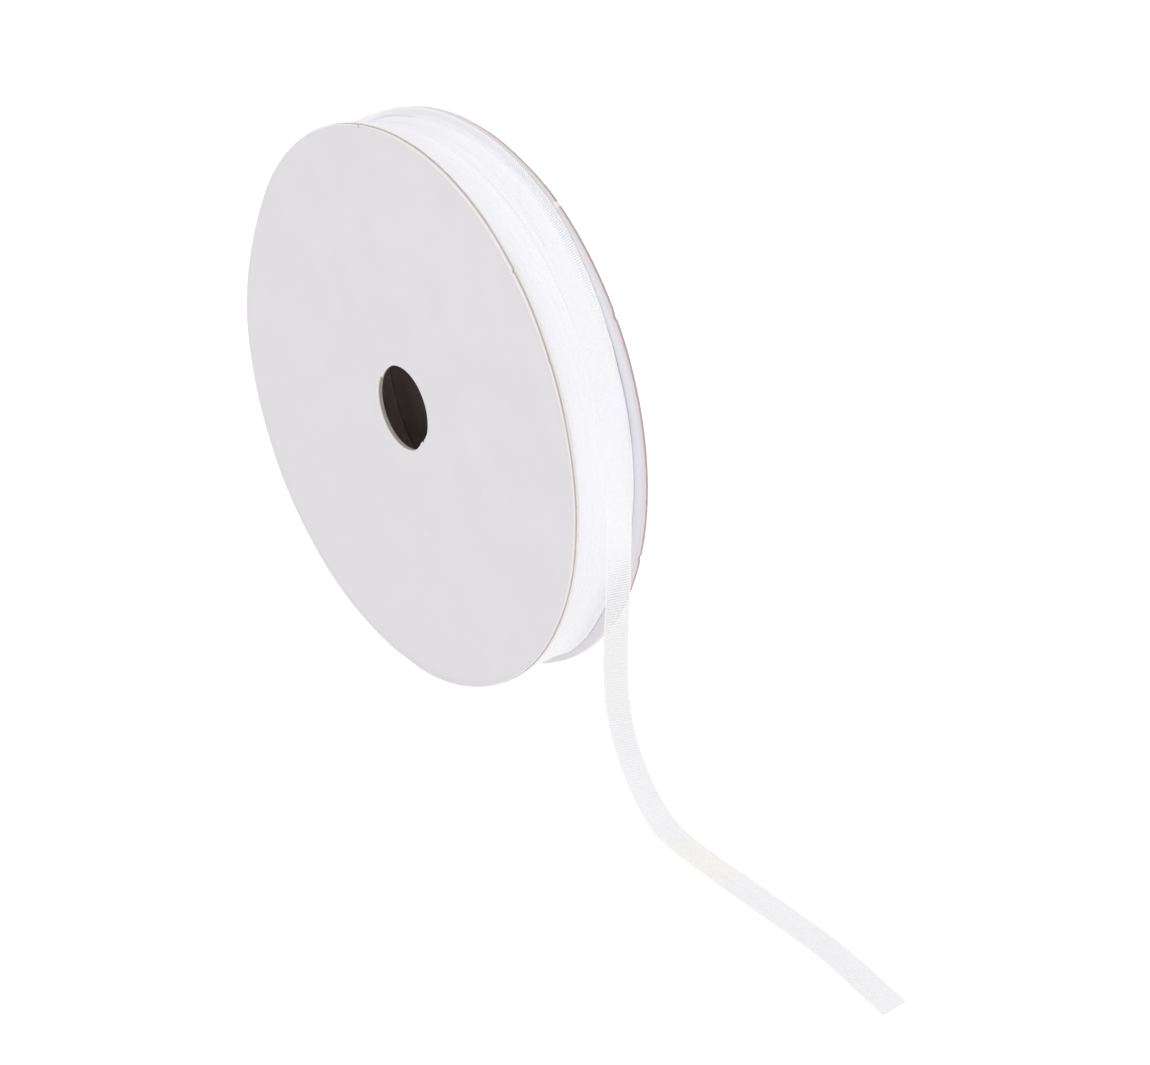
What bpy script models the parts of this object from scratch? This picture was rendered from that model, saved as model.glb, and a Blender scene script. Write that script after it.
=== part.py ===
"""Roll of narrow organza ribbon wound on a card spool.

The spool stands on the rims of its two discs. Its axis lies along Y, the near disc is at -Y,
and the ribbon's loose end leaves the roll at +X, hangs down and runs out over the surface.
The origin is on that surface, straight under the middle of the roll.
"""
import math

import bmesh
import bpy
import numpy as np
from mathutils import Vector

MM = 0.001

# Spool: two die-cut discs on a short card tube
DISC_RADIUS = 57.5 * MM
DISC_THICKNESS = 1.1 * MM
DISC_SPACING = 15.0 * MM
CARD_EDGE_ROUNDING = 0.12 * MM
HOLE_RADIUS = 8.8 * MM
CORE_RADIUS = 30.0 * MM
CORE_WALL = 1.0 * MM
FLAT_SPOT_LENGTH = 8.0 * MM

# Ribbon
RIBBON_WIDTH = 6.0 * MM
SHEET_THICKNESS = 1.0 * MM
LANE_STEP = 0.2 * MM
LANE_BLEND = 0.8 * MM
LIP_WIDTH = 2.0 * MM
EDGE_ROUNDING = 0.4 * MM
SEAM = 0.3 * MM

# How finely the forms are divided; steps nearer to a corner than this share of a step are left out
DISC_STEPS = 150
WOUND_STEPS = 120
CORE_STEPS = 72
ROWS_ACROSS = 11
TAIL_STEPS = 52
CORNER_CLEARANCE = 0.15
SHARP_ANGLE = 35.0

AXIS_HEIGHT = math.sqrt(DISC_RADIUS ** 2 - (FLAT_SPOT_LENGTH / 2) ** 2)
INNER_FACE = DISC_SPACING / 2
WOUND_FACE = INNER_FACE - SEAM

# Small faults of the die cut: where each begins, is deepest and ends, in degrees round the disc
# from +X towards +Z, and its depth in millimetres
FRONT_RIM_NICKS = (
    # start, deepest, end, depth
    (29.9, 30.9, 31.3, 0.25),
    (47.6, 49.3, 49.8, 0.45),
    (103.4, 104.0, 104.6, 0.50),
    (118.8, 119.8, 121.0, 0.25),
)
REAR_RIM_NICKS = (
    # start, deepest, end, depth
    (34.1, 34.6, 36.4, 0.35),
    (58.4, 59.0, 60.6, 0.35),
    (344.4, 345.3, 346.2, 0.35),
)
# Paper left standing in the near disc's hole
FRONT_HOLE_TABS = (
    # start, deepest, end, depth
    (113.0, 145.0, 150.0, 1.40),
    (303.0, 308.0, 338.0, 0.65),
)

# The wound form round the roll, in degrees and millimetres: the radius of its outer turns, where
# its far edge and the last turn's near edge lie along Y, and how high the turns climb the far disc
WOUND_FORM = (
    # angle, radius, far_edge, lane_edge, lip
    (0.0, 54.4, 6.8, 0.6, 0.0),
    (20.0, 54.4, 6.9, 0.5, 0.1),
    (42.0, 54.4, 7.2, 0.3, 0.6),
    (60.0, 54.4, 7.2, 1.4, 1.6),
    (80.0, 54.5, 7.2, 2.8, 1.8),
    (115.0, 54.6, 7.2, 3.0, 1.7),
    (150.0, 54.6, 7.1, 2.6, 0.6),
    (190.0, 54.5, 6.9, 1.6, 0.0),
    (240.0, 55.0, 6.8, 0.4, 0.0),
    (280.0, 55.8, 6.6, -0.4, 0.0),
    (303.0, 56.0, 6.4, -0.6, 0.0),
    (315.0, 55.6, 6.4, -0.4, 0.0),
    (328.0, 54.8, 6.6, 0.1, 0.0),
    (345.0, 54.4, 6.7, 0.5, 0.0),
)

# The loose end's middle line, in millimetres, with its twist in degrees: it lies on the roll
# down to the level of the axis, hangs, swings out and lies flat
LOOSE_END_ROUTE = (
    # x, y, z, twist
    (54.4, 3.9, 66.5, 0.0),
    (55.2, 3.85, 57.4, 0.0),
    (55.5, 3.6, 50.6, 0.0),
    (56.0, 3.0, 43.8, 0.0),
    (56.9, 2.1, 37.1, -1.0),
    (58.0, 0.95, 30.4, -1.6),
    (59.5, -0.3, 23.8, -2.9),
    (61.9, -1.6, 17.6, -5.6),
    (65.5, -2.75, 12.0, -8.8),
    (70.3, -3.7, 7.2, -9.0),
    (75.9, -4.5, 3.5, -7.0),
    (82.3, -5.1, 1.1, -3.0),
    (89.1, -5.4, 0.5, 0.0),
    (96.0, -5.5, 0.5, 0.0),
    (102.9, -5.5, 0.5, 0.0),
    (116.6, -5.35, 0.5, 0.0),
    (130.4, -5.5, 0.5, 0.0),
    (137.2, -6.05, 0.5, 0.0),
    (144.0, -6.9, 0.5, 0.0),
    (150.4, -7.65, 0.5, 0.0),
)


def clear_scene():
    """Remove every object that the file opened with."""
    for obj in list(bpy.data.objects):
        bpy.data.objects.remove(obj, do_unlink=True)


def finish_material(name, colour, roughness):
    """Plain material of one colour, for telling the pieces apart."""
    material = bpy.data.materials.new(name)
    material.use_nodes = True
    shader = material.node_tree.nodes["Principled BSDF"]
    shader.inputs["Base Color"].default_value = (*colour, 1.0)
    shader.inputs["Roughness"].default_value = roughness
    shader.inputs["Metallic"].default_value = 0.0
    material.diffuse_color = (*colour, 1.0)
    return material


def object_from_bmesh(name, bm, material):
    """Turn a bmesh into a named, smoothly shaded object with one material."""
    mesh = bpy.data.meshes.new(name)
    bm.to_mesh(mesh)
    bm.free()
    mesh.materials.append(material)
    mesh.shade_smooth()
    mesh.set_sharp_from_angle(angle=math.radians(SHARP_ANGLE))
    obj = bpy.data.objects.new(name, mesh)
    bpy.context.scene.collection.objects.link(obj)
    return obj


def smooth_step(value):
    """Ease from 0 to 1 as value goes from 0 to 1, flat beyond both ends."""
    value = min(max(value, 0.0), 1.0)
    return value * value * (3.0 - 2.0 * value)


def faults_depth(faults, angle):
    """Depth of the die-cut faults at an angle in degrees, rising and falling in straight lines."""
    angle = angle % 360.0
    depth = 0.0
    for start, deepest, end, deep in faults:
        if start < angle < end:
            run = deepest - start if angle <= deepest else end - deepest
            depth += deep * MM * (1.0 - abs(angle - deepest) / run)
    return depth


def disc_angles(*fault_tables):
    """Even steps round the disc, with the flat spot's ends and each fault's corners added."""
    angles = [360.0 * step / DISC_STEPS for step in range(DISC_STEPS)]
    half_flat = math.degrees(math.asin(FLAT_SPOT_LENGTH / 2 / DISC_RADIUS))
    corners = [270.0 - half_flat, 270.0 + half_flat]
    corners += [angle for table in fault_tables for fault in table for angle in fault[:3]]
    nearest = CORNER_CLEARANCE * 360.0 / DISC_STEPS
    angles = [a for a in angles if min(abs(a - corner) for corner in corners) > nearest]
    return sorted(angles + corners)


def rim_radius(angle, nicks):
    """Radius of a disc's rim, cut straight across at the flat spot that it stands on."""
    radius = DISC_RADIUS - faults_depth(nicks, angle)
    downward = -math.sin(math.radians(angle))
    if downward > 0.0:
        radius = min(radius, AXIS_HEIGHT / downward)
    return radius


def skin_ring(sections, angles):
    """Closed ring through one loop of (radius, y) points at each angle, about the spool's axis."""
    bm = bmesh.new()
    loops = []
    for angle, section in zip(angles, sections):
        cosine = math.cos(math.radians(angle))
        sine = math.sin(math.radians(angle))
        loops.append([bm.verts.new((r * cosine, y, AXIS_HEIGHT + r * sine)) for r, y in section])
    for here, after in zip(loops, loops[1:] + loops[:1]):
        for index in range(len(here)):
            following = (index + 1) % len(here)
            bm.faces.new((here[index], after[index], after[following], here[following]))
    bmesh.ops.recalc_face_normals(bm, faces=bm.faces)
    return bm


def disc(name, outer_face, nicks, tabs, material):
    """One die-cut disc with a round hole; outer_face is the Y of its outward side."""
    inner_face = outer_face - math.copysign(DISC_THICKNESS, outer_face)
    low, high = sorted((outer_face, inner_face))
    soft = CARD_EDGE_ROUNDING
    angles = disc_angles(nicks, tabs)
    sections = []
    for angle in angles:
        rim = rim_radius(angle, nicks)
        hole = HOLE_RADIUS - faults_depth(tabs, angle)
        sections.append([
            (hole + soft, low), (rim - soft, low), (rim, low + soft), (rim, high - soft),
            (rim - soft, high), (hole + soft, high), (hole, high - soft), (hole, low + soft),
        ])
    return object_from_bmesh(name, skin_ring(sections, angles), material)


def core_tube(material):
    """Short card tube that carries both discs."""
    inside = CORE_RADIUS - CORE_WALL
    section = [
        (inside, -WOUND_FACE), (CORE_RADIUS, -WOUND_FACE),
        (CORE_RADIUS, WOUND_FACE), (inside, WOUND_FACE),
    ]
    angles = [360.0 * step / CORE_STEPS for step in range(CORE_STEPS)]
    bm = skin_ring([section] * CORE_STEPS, angles)
    return object_from_bmesh("core_tube", bm, material)


def wound_form_at(angle):
    """The wound form's sizes at an angle, eased between the table's rows, in metres."""
    rows = WOUND_FORM + ((360.0,) + WOUND_FORM[0][1:],)
    for here, after in zip(rows, rows[1:]):
        if here[0] <= angle <= after[0]:
            share = smooth_step((angle - here[0]) / (after[0] - here[0]))
            return [(a + (b - a) * share) * MM for a, b in zip(here[1:], after[1:])]
    raise ValueError("angle outside the table")


def wound_section(angle):
    """One section of the wound ribbon: bore, near side, outer turns and far side."""
    radius, far_edge, lane_edge, lip = wound_form_at(angle)
    bore = CORE_RADIUS + SEAM
    section = [(bore, far_edge), (bore, -WOUND_FACE)]
    for row in range(ROWS_ACROSS):
        share = 0.5 - 0.5 * math.cos(math.pi * row / (ROWS_ACROSS - 1))
        y = -WOUND_FACE + share * (far_edge + WOUND_FACE)
        lane = LANE_STEP * smooth_step((y - lane_edge) / LANE_BLEND + 0.5)
        climb = lip * smooth_step((y - far_edge) / LIP_WIDTH + 1.0)
        from_edge = min(y + WOUND_FACE, far_edge - y)
        rounding = EDGE_ROUNDING * (1.0 - smooth_step(from_edge / (2.0 * EDGE_ROUNDING)))
        section.append((radius - LANE_STEP + lane + climb - rounding, y))
    return section


def wound_ribbon(material):
    """The ribbon's many turns as one solid of their wound form."""
    angles = [360.0 * step / WOUND_STEPS for step in range(WOUND_STEPS)]
    bm = skin_ring([wound_section(angle) for angle in angles], angles)
    return object_from_bmesh("wound_ribbon", bm, material)


def smooth_route(points, steps):
    """Even points along a smooth curve through the given points, one row of numbers each.

    Between two points the curve is a cubic whose slope at each point is that of the chord
    between its neighbours, measured along the route.
    """
    points = np.array(points, dtype=float)
    lengths = np.linalg.norm(np.diff(points[:, :3], axis=0), axis=1)
    knots = np.concatenate([[0.0], np.cumsum(lengths)])
    slopes = np.gradient(points, knots, axis=0)
    along = np.linspace(0.0, knots[-1], steps)
    left = np.clip(np.searchsorted(knots, along, side="right") - 1, 0, len(knots) - 2)
    span = (knots[left + 1] - knots[left])[:, None]
    t = (along - knots[left])[:, None] / span
    return (
        (2 * t ** 3 - 3 * t ** 2 + 1) * points[left]
        + (t ** 3 - 2 * t ** 2 + t) * span * slopes[left]
        + (3 * t ** 2 - 2 * t ** 3) * points[left + 1]
        + (t ** 3 - t ** 2) * span * slopes[left + 1]
    )


def loose_end(material):
    """The ribbon's free end as a thin sheet along its route, given its thickness by a modifier."""
    rows = smooth_route(LOOSE_END_ROUTE, TAIL_STEPS)
    middle = rows[:, :3] * MM
    lowest = SHEET_THICKNESS / 2
    middle[:, 2] = np.maximum(middle[:, 2], lowest)
    along = np.gradient(middle, axis=0)
    bm = bmesh.new()
    edges = []
    for place, direction, twist in zip(middle, along, np.radians(rows[:, 3])):
        direction = Vector(direction).normalized()
        across = (Vector((0.0, 1.0, 0.0)) - direction * direction.y).normalized()
        across = across * math.cos(twist) + direction.cross(across) * math.sin(twist)
        half = across * RIBBON_WIDTH / 2
        edges.append((bm.verts.new(Vector(place) - half), bm.verts.new(Vector(place) + half)))
    for here, after in zip(edges, edges[1:]):
        bm.faces.new((here[0], after[0], after[1], here[1]))
    obj = object_from_bmesh("ribbon_end", bm, material)
    thickness = obj.modifiers.new("thickness", "SOLIDIFY")
    thickness.thickness = SHEET_THICKNESS
    thickness.offset = 0.0
    thickness.use_even_offset = True
    return obj


def build():
    """Make every piece of the roll."""
    clear_scene()
    lined_card = finish_material("white_lined_card", (0.74, 0.73, 0.76), 0.75)
    raw_card = finish_material("raw_brown_card", (0.16, 0.11, 0.08), 0.9)
    organza = finish_material("white_organza", (0.90, 0.90, 0.93), 0.5)
    outer = INNER_FACE + DISC_THICKNESS
    disc("front_disc", -outer, FRONT_RIM_NICKS, FRONT_HOLE_TABS, lined_card)
    disc("rear_disc", outer, REAR_RIM_NICKS, (), lined_card)
    core_tube(raw_card)
    wound_ribbon(organza)
    loose_end(organza)


build()
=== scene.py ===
"""Looks of a roll of narrow white organza ribbon on its card spool.

The spool stands on the rims of its two discs with its axis along Y. The ribbon's last turn
lies on the roll, leaves it at +X, hangs down and runs out over the surface.
"""
from __future__ import annotations

import logging
import math
from dataclasses import dataclass
from enum import Enum
from typing import NamedTuple

import bpy
import numpy as np
from mathutils import Matrix, Vector

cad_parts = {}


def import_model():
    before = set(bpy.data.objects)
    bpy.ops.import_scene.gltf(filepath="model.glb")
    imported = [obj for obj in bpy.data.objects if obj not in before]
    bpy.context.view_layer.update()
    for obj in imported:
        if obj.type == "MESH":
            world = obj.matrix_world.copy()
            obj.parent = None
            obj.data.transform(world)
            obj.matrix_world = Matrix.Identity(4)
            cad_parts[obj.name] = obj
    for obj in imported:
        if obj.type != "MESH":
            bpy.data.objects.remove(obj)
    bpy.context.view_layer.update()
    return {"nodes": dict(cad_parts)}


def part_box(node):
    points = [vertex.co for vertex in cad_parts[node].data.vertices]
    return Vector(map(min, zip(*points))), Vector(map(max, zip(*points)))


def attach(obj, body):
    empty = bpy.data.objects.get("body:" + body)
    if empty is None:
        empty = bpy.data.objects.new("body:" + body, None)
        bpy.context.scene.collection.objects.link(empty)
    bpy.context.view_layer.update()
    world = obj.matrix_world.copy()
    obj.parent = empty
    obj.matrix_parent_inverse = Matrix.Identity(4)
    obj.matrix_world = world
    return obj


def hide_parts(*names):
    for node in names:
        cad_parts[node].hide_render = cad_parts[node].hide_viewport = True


MM = 0.001
LOG = logging.getLogger("ribbon_roll")

Colour = tuple[float, float, float]
Place = tuple[float, float, float]


class Side(Enum):
    """Which of the spool's two discs, by the sign of its Y."""

    NEAR = -1
    FAR = 1


class MathOp(Enum):
    """Sums that a Math node does."""

    ADD = "ADD"
    SUBTRACT = "SUBTRACT"
    MULTIPLY = "MULTIPLY"
    DIVIDE = "DIVIDE"
    POWER = "POWER"
    ABSOLUTE = "ABSOLUTE"
    FRACTION = "FRACT"
    SINE = "SINE"
    MAXIMUM = "MAXIMUM"
    MINIMUM = "MINIMUM"
    LESS = "LESS_THAN"


class FormRow(NamedTuple):
    """Sizes of the wound form at one angle round the roll, in degrees and millimetres.

    Groove is how far the top turns stop short of the far disc.
    """

    angle: float
    radius: float
    groove: float


class TurnRow(NamedTuple):
    """How the last turn lies at one angle round the roll, in degrees and millimetres.

    From its near edge the ribbon rises to the fold by rise, and past the fold it climbs towards
    the far disc at the angle climb. Tuck is how deep it is pressed into the groove at the fold, and how
    dark the painted shade of the fold is.
    Clear is how much shows through it where it is off the roll.
    """

    angle: float
    near_edge: float
    fold: float
    rise: float
    climb: float
    tuck: float
    clear: float


class EdgeRow(NamedTuple):
    """Which part of a rim's cut edge is dark at one angle, in degrees: bare board, and painted shade
    where the edge faces away from the light. The pale rest is liner and painted highlight.

    The edge counts from -1 at the side that the die came in by to 1 at the other.
    """

    angle: float
    bare_from: float
    bare_to: float


class WarpRow(NamedTuple):
    """How far a disc's rim leans out of its plane at one angle, in degrees and millimetres."""

    angle: float
    lean: float


class RoutePoint(NamedTuple):
    """One point of the loose end's middle line, in millimetres, with its twist in degrees."""

    x: float
    y: float
    z: float
    twist: float


class DieFault(NamedTuple):
    """A small fault of the die cut, in degrees round the disc and millimetres deep."""

    start: float
    deepest: float
    end: float
    depth: float


class PaperMark(NamedTuple):
    """Where the paper liner is drawn over the rim's edge, or torn off beside it, in degrees; over the far
    disc's top, the pale paper stands for painted highlight.

    Amount is 1 where the paper hides the cut edge and -1 where bare board shows on the face.
    """

    start: float
    full: float
    until: float
    end: float
    amount: float


def table(kind: type, *rows: tuple[float, ...]) -> tuple[NamedTuple, ...]:
    """Rows of one kind from plain numbers."""
    return tuple(kind(*row) for row in rows)


WOUND_FORM = table(
    FormRow,
    (0.0, 54.7, 0.05), (30.0, 54.7, 0.05), (38.0, 54.7, 0.35), (46.0, 54.7, 0.6),
    (57.0, 54.7, 0.6), (68.0, 54.75, 0.4), (80.0, 54.8, 0.2), (96.0, 54.9, 0.2),
    (106.0, 55.2, 0.4), (118.0, 56.2, 0.55), (132.0, 56.5, 0.5), (150.0, 56.0, 0.6),
    (172.0, 55.0, 0.6), (190.0, 54.8, 0.6), (240.0, 55.3, 0.7), (275.0, 56.1, 0.6),
    (292.0, 56.5, 0.2), (305.0, 56.4, 0.05), (331.0, 54.4, 0.05), (342.0, 54.6, 0.05),
)

LAST_TURN = table(
    TurnRow,
    (0.0, 0.9, 7.3, 0.0, 0.0, 0.0, 0.0), (10.0, 0.9, 7.3, 0.0, 0.0, 0.0, 0.0),
    (22.0, 1.2, 7.0, 0.0, 10.0, 0.0, 0.03), (32.0, 1.5, 6.7, 0.0, 20.0, 0.0, 0.08),
    (40.0, 1.8, 6.3, 0.0, 32.0, 0.0, 0.2), (46.0, 2.1, 6.2, 0.0, 38.0, 0.0, 0.36),
    (51.0, 2.6, 6.4, 0.0, 45.0, 0.0, 0.42), (58.0, 3.3, 6.7, 0.0, 50.0, 0.0, 0.42),
    (70.0, 3.5, 6.8, 0.0, 50.0, 0.0, 0.28), (80.0, 3.3, 6.6, 0.0, 50.0, 0.0, 0.12),
    (90.0, 2.9, 6.3, 0.0, 48.0, 0.0, 0.1), (97.0, 2.6, 6.0, 0.1, 45.0, 0.0, 0.1),
    (104.0, 2.5, 6.2, 0.1, 48.0, 0.0, 0.1), (110.0, 2.27, 6.05, 0.0, 49.0, 0.1, 0.1),
    (117.0, 1.4, 5.6, 0.0, 43.0, 0.2, 0.1), (121.0, 1.15, 5.0, 0.0, 43.5, 0.12, 0.1),
    (125.0, 1.17, 4.5, 0.0, 47.5, 0.04, 0.1), (132.0, 1.06, 4.1, 0.0, 58.0, 0.0, 0.1),
    (140.0, 0.6, 5.0, 0.0, 40.0, 0.0, 0.1), (155.0, 0.4, 6.0, 0.0, 10.0, 0.0, 0.0),
    (170.0, 0.0, 6.4, 0.0, 4.0, 0.0, 0.0), (190.0, -0.6, 7.2, 0.0, 0.0, 0.0, 0.0),
    (215.0, -1.6, 7.2, 0.0, 0.0, 0.0, 0.0), (240.0, -2.4, 7.2, 0.0, 0.0, 0.0, 0.0),
    (330.0, 0.85, 7.3, 0.0, 0.0, 0.0, 0.0),
)

DISC_WARP = {
    Side.NEAR: table(
        WarpRow,
        (0.0, 0.03), (15.0, -0.13), (30.0, -0.08), (45.0, 0.0), (62.0, 0.12), (80.0, 0.05),
        (95.0, -0.05), (110.0, -0.3), (140.0, 0.0), (154.0, 0.4), (184.0, -0.5), (212.0, -0.3),
        (236.0, 0.0), (262.0, 0.3), (285.0, 0.0), (318.0, 0.35), (345.0, 0.2),
    ),
    Side.FAR: table(
        WarpRow,
        (0.0, 0.05), (30.0, 0.15), (60.0, 0.15), (76.0, -0.25), (95.0, -0.65), (112.0, -0.85),
        (128.0, -1.3), (150.0, -1.0), (200.0, -0.3), (330.0, -0.1),
    ),
}

LOOSE_END_ROUTE = table(
    RoutePoint,
    (54.4, 3.9, 66.5, 0.0), (55.2, 3.85, 57.4, 0.0), (55.5, 3.6, 50.6, 0.0),
    (56.0, 3.0, 43.8, 0.0), (56.9, 2.1, 37.1, -1.0), (58.0, 0.95, 30.4, -1.6),
    (59.5, -0.3, 23.8, -2.9), (61.9, -1.6, 17.6, -5.6), (65.5, -2.75, 12.0, -8.8),
    (70.3, -3.7, 7.2, -9.0), (75.9, -4.5, 3.5, -7.0), (82.3, -5.1, 1.1, -3.0),
    (89.1, -5.4, 0.5, -1.5), (96.0, -5.5, 0.5, 0.0), (102.9, -5.5, 0.5, 1.2),
    (116.6, -5.35, 0.5, 0.8), (130.4, -5.5, 0.5, -2.4), (137.2, -6.05, 0.5, -2.6),
    (144.0, -6.9, 0.5, -2.0), (150.4, -7.65, 0.5, -1.0),
)

# Painted light: these rows set the pale and dark parts of each rim's edge by angle, as liner and bare
# board and also as painted highlight and painted shade.
RIM_EDGE = {
    Side.NEAR: table(
        EdgeRow,
        (0.0, -0.62, 0.05), (15.0, -0.60, 0.0), (30.0, -0.56, 0.12), (45.0, -0.30, 0.34),
        (60.0, -0.14, 0.52), (75.0, -0.10, 0.66), (90.0, -0.34, 0.42), (98.0, -0.68, 0.10),
        (106.0, -0.75, -0.15), (113.0, -0.50, -0.45), (130.0, -0.50, 0.40), (300.0, -0.70, 0.40),
        (330.0, -0.75, 0.12), (345.0, -0.50, 0.16),
    ),
    Side.FAR: table(
        EdgeRow,
        (0.0, 0.08, 1.3), (55.0, 0.05, 1.3), (72.0, 0.22, 1.3), (110.0, 0.25, 1.3),
    ),
}

RIM_FAULTS = {
    Side.NEAR: table(
        DieFault,
        (29.9, 30.9, 31.3, 0.25), (48.1, 48.7, 49.1, 0.40), (49.1, 49.5, 50.4, -0.18),
        (118.8, 119.8, 121.0, 0.25),
    ),
    Side.FAR: table(
        DieFault,
        (34.1, 34.6, 36.4, 0.35), (68.0, 113.0, 140.0, 0.26), (344.4, 345.3, 346.2, 0.35),
    ),
}
RIM_PAPER = {
    Side.NEAR: table(
        PaperMark,
        (102.4, 102.5, 102.8, 102.9, -1.0),
    ),
    Side.FAR: table(
        PaperMark,
        # From 78 to 134 degrees the pale paper over the far disc's top edge is a painted highlight, where
        # the edge faces the light from above.
        (58.8, 58.9, 60.0, 60.1, 1.0), (78.0, 104.0, 128.0, 134.0, 1.0),
        (296.0, 299.0, 322.0, 326.0, 1.0),
    ),
}
HOLE_TABS = {
    Side.NEAR: table(
        DieFault,
        (112.0, 147.5, 149.5, 0.75), (297.0, 327.0, 330.0, 0.75), (329.0, 333.0, 350.0, 0.40),
    ),
    Side.FAR: (),
}


def smooth_step(value: np.ndarray) -> np.ndarray:
    """Ease from 0 to 1: three times the square less twice the cube, flat beyond both ends."""
    value = np.clip(value, 0.0, 1.0)
    return value * value * (3.0 - 2.0 * value)


def eased_round(rows: tuple[NamedTuple, ...], column: str, angle: np.ndarray) -> np.ndarray:
    """Read one column of a table at any angle, eased between its rows and closed at 360.

    Args:
        rows: the table, by rising angle, its first row at 0.
        column: the column's name.
        angle: angles in degrees.

    Returns:
        The column's values at those angles, in the table's own units.
    """
    angle = np.mod(angle, 360.0)
    at = np.array([row.angle for row in rows] + [360.0])
    value = np.array([getattr(row, column) for row in rows + rows[:1]])
    left = np.clip(np.searchsorted(at, angle, side="right") - 1, 0, len(at) - 2)
    share = smooth_step((angle - at[left]) / (at[left + 1] - at[left]))
    return value[left] + (value[left + 1] - value[left]) * share


def faults_depth(faults: tuple[DieFault, ...], angle: np.ndarray) -> np.ndarray:
    """Depth of the die's faults at each angle: each a straight rise to its deepest and back.

    Args:
        faults: the faults of one edge.
        angle: angles in degrees, from 0 to 360.

    Returns:
        Depths in metres.
    """
    depth = np.zeros_like(angle)
    for fault in faults:
        corners = (fault.start, fault.deepest, fault.end)
        depth += np.interp(angle, corners, (0.0, fault.depth * MM, 0.0), left=0.0, right=0.0)
    return depth


def paper_over(marks: tuple[PaperMark, ...], angle: np.ndarray) -> np.ndarray:
    """Sum of the marks at each angle, each a straight ramp up, a level stretch and a ramp down.

    Args:
        marks: the marks of one disc.
        angle: angles in degrees, from 0 to 360.

    Returns:
        Amounts from -1 to 1.
    """
    amount = np.zeros_like(angle)
    for mark in marks:
        levels = (0.0, mark.amount, mark.amount, 0.0)
        amount += np.interp(angle, mark[:4], levels, left=0.0, right=0.0)
    return amount


def columns_of(*parts: object) -> np.ndarray:
    """Numbers and arrays stretched to one shape and set side by side in a last axis."""
    return np.stack(np.broadcast_arrays(*parts), axis=-1)


def skin(
    name: str,
    points: np.ndarray,
    lay: np.ndarray,
    rows_close: bool = False,
    columns_close: bool = False,
    fields: dict[str, np.ndarray] | None = None,
) -> bpy.types.Object:
    """Make a mesh object from a grid of points, its faces joining neighbours on the grid.

    A face looks the way of its column direction crossed with its row direction.

    Args:
        name: the object's name.
        points: grid of places, rows by columns by 3, in metres.
        lay: grid of UV pairs, one row or column more than points where that way closes.
        rows_close: whether the last row joins the first.
        columns_close: whether the last column joins the first.
        fields: named numbers for each point, each a grid of rows by columns.

    Returns:
        The object, at the origin, smoothly shaded.
    """
    rows, columns = points.shape[:2]
    row = np.arange(rows if rows_close else rows - 1)[:, None]
    column = np.arange(columns if columns_close else columns - 1)[None, :]
    next_row = (row + 1) % rows
    next_column = (column + 1) % columns
    corners = columns_of(
        row * columns + column,
        row * columns + next_column,
        next_row * columns + next_column,
        next_row * columns + column,
    ).reshape(-1, 4)
    first = row * lay.shape[1] + column
    after = first + lay.shape[1]
    lay_corners = columns_of(first, first + 1, after + 1, after).reshape(-1)
    mesh = bpy.data.meshes.new(name)
    mesh.from_pydata(points.reshape(-1, 3), [], corners)
    uv = mesh.uv_layers.new(name="lay")
    uv.data.foreach_set("uv", lay.reshape(-1, 2)[lay_corners].astype(np.float32).ravel())
    for field, values in (fields or {}).items():
        layer = mesh.attributes.new(field, "FLOAT", "POINT")
        layer.data.foreach_set("value", values.astype(np.float32).ravel())
    mesh.shade_smooth()
    mesh.validate()
    obj = bpy.data.objects.new(name, mesh)
    bpy.context.scene.collection.objects.link(obj)
    return obj


class Channel:
    """A number on a shader's wire, with Python's sums written as Math nodes."""

    def __init__(self, board: "NodeBoard", socket: bpy.types.NodeSocket) -> None:
        """Keep the board that the wire is on and the socket that it leaves."""
        self.board = board
        self.socket = socket

    def __add__(self, other: "Number") -> "Channel":
        """Sum."""
        return self.board.sum_of(MathOp.ADD, self, other)

    __radd__ = __add__

    def __sub__(self, other: "Number") -> "Channel":
        """Difference."""
        return self.board.sum_of(MathOp.SUBTRACT, self, other)

    def __rsub__(self, other: "Number") -> "Channel":
        """Difference the other way round."""
        return self.board.sum_of(MathOp.SUBTRACT, other, self)

    def __mul__(self, other: "Number") -> "Channel":
        """Product."""
        return self.board.sum_of(MathOp.MULTIPLY, self, other)

    __rmul__ = __mul__

    def __truediv__(self, other: "Number") -> "Channel":
        """Quotient."""
        return self.board.sum_of(MathOp.DIVIDE, self, other)

    def __pow__(self, other: "Number") -> "Channel":
        """Power."""
        return self.board.sum_of(MathOp.POWER, self, other)

    def __abs__(self) -> "Channel":
        """Size without sign."""
        return self.board.sum_of(MathOp.ABSOLUTE, self)

    def fraction(self) -> "Channel":
        """Part after the decimal point."""
        return self.board.sum_of(MathOp.FRACTION, self)

    def sine(self) -> "Channel":
        """Sine of an angle in radians."""
        return self.board.sum_of(MathOp.SINE, self)

    def at_most(self, other: "Number") -> "Channel":
        """The smaller of two."""
        return self.board.sum_of(MathOp.MINIMUM, self, other)

    def at_least(self, other: "Number") -> "Channel":
        """The larger of two."""
        return self.board.sum_of(MathOp.MAXIMUM, self, other)

    def below(self, other: "Number") -> "Channel":
        """1 where this is less than the other, else 0."""
        return self.board.sum_of(MathOp.LESS, self, other)

    def eased(self, low: float, high: float) -> "Channel":
        """Smooth ramp from 0 at low to 1 at high, also where low is the larger."""
        flip = low > high
        ramp = self.board.node(
            "ShaderNodeMapRange",
            {"interpolation_type": "SMOOTHSTEP"},
            {"Value": self, "From Min": min(low, high), "From Max": max(low, high)},
        )
        out = Channel(self.board, ramp.outputs["Result"])
        return 1.0 - out if flip else out


Number = Channel | float


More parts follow.
